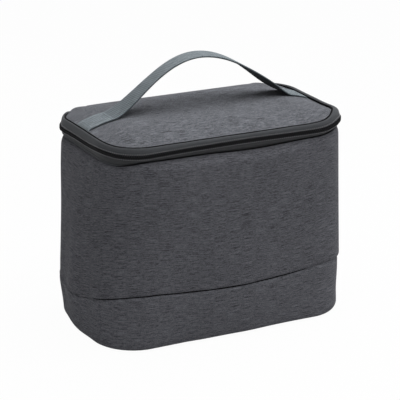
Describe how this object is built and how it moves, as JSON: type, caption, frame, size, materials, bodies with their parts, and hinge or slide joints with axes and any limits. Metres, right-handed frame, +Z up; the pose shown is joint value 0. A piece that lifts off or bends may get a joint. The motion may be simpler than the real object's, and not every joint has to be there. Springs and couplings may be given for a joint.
{
  "type": "insulated lunch bag",
  "caption": "Soft padded box-shaped lunch bag with a zip lid that folds open along its back edge, a sewn base band and an arched webbing handle on the lid.",
  "frame": {"origin": "middle of the base, on the floor", "axes": "+X to the bag's right along its width, +Y to its back, where the lid hinges, +Z up"},
  "size_m": [0.2714, 0.1629, 0.2591],
  "materials": {
    "charcoal_fabric": "melange polyester canvas, matte",
    "zip_tape": "plain woven tape, matte",
    "zip_coil": "nylon coil, satin",
    "webbing": "ribbed webbing, matte",
    "binding": "woven binding tape, matte",
    "liner": "wipe-clean foil-look film",
    "foam": "closed-cell foam",
    "base_board": "plain stiffener sheet",
    "zip_metal": "dark enamelled zinc, satin"
  },
  "bodies": {
    "bag_body": {"outer_wall": "charcoal_fabric", "back_panel": "charcoal_fabric", "base_band": "charcoal_fabric", "base_panel": "charcoal_fabric", "base_board": "base_board", "wall_foam": "foam", "back_foam": "foam", "base_foam": "foam", "liner_wall": "liner", "liner_base": "liner", "mouth_binding": "binding", "zip_tape_lower": "zip_tape", "zip_coil_lower": "zip_coil"},
    "lid": {"lid_top_panel": "charcoal_fabric", "lid_back_fold": "charcoal_fabric", "lid_foam": "foam", "lid_liner": "liner", "lid_binding": "binding", "zip_tape_upper": "zip_tape", "zip_coil_upper": "zip_coil", "handle_end_left": "webbing", "handle_end_right": "webbing"},
    "handle": {"handle_grip": "webbing", "handle_leg_left": "webbing", "handle_leg_right": "webbing"},
    "zip_slider": {"slider_body": "zip_metal", "slider_bail": "zip_metal"},
    "zip_pull": {"pull_tab": "zip_metal"}
  },
  "joints": [
    {"name": "lid_hinge", "type": "hinge", "parent": "bag_body", "child": "lid", "pos_m": [0, 0.0735, 0.1935], "axis": [-1, 0, 0], "range_deg": [0, 180]},
    {"name": "handle_swing", "type": "hinge", "parent": "lid", "child": "handle", "pos_m": [0, 0.003, 0.20733], "axis": [1, 0, 0], "range_deg": [-60, 60], "stiffness_Nm_per_rad": 0.02, "deforming": ["handle_leg_left", "handle_leg_right"]},
    {"name": "slider_travel", "type": "slide", "parent": "bag_body", "child": "zip_slider", "axis": [0, -1, 0], "range_m": [0, 0.054]},
    {"name": "pull_swing", "type": "hinge", "parent": "zip_slider", "child": "zip_pull", "pos_m": [0.1315, 0.027, 0.1935], "axis": [0, 0, 1], "range_deg": [0, 180]}
  ]
}
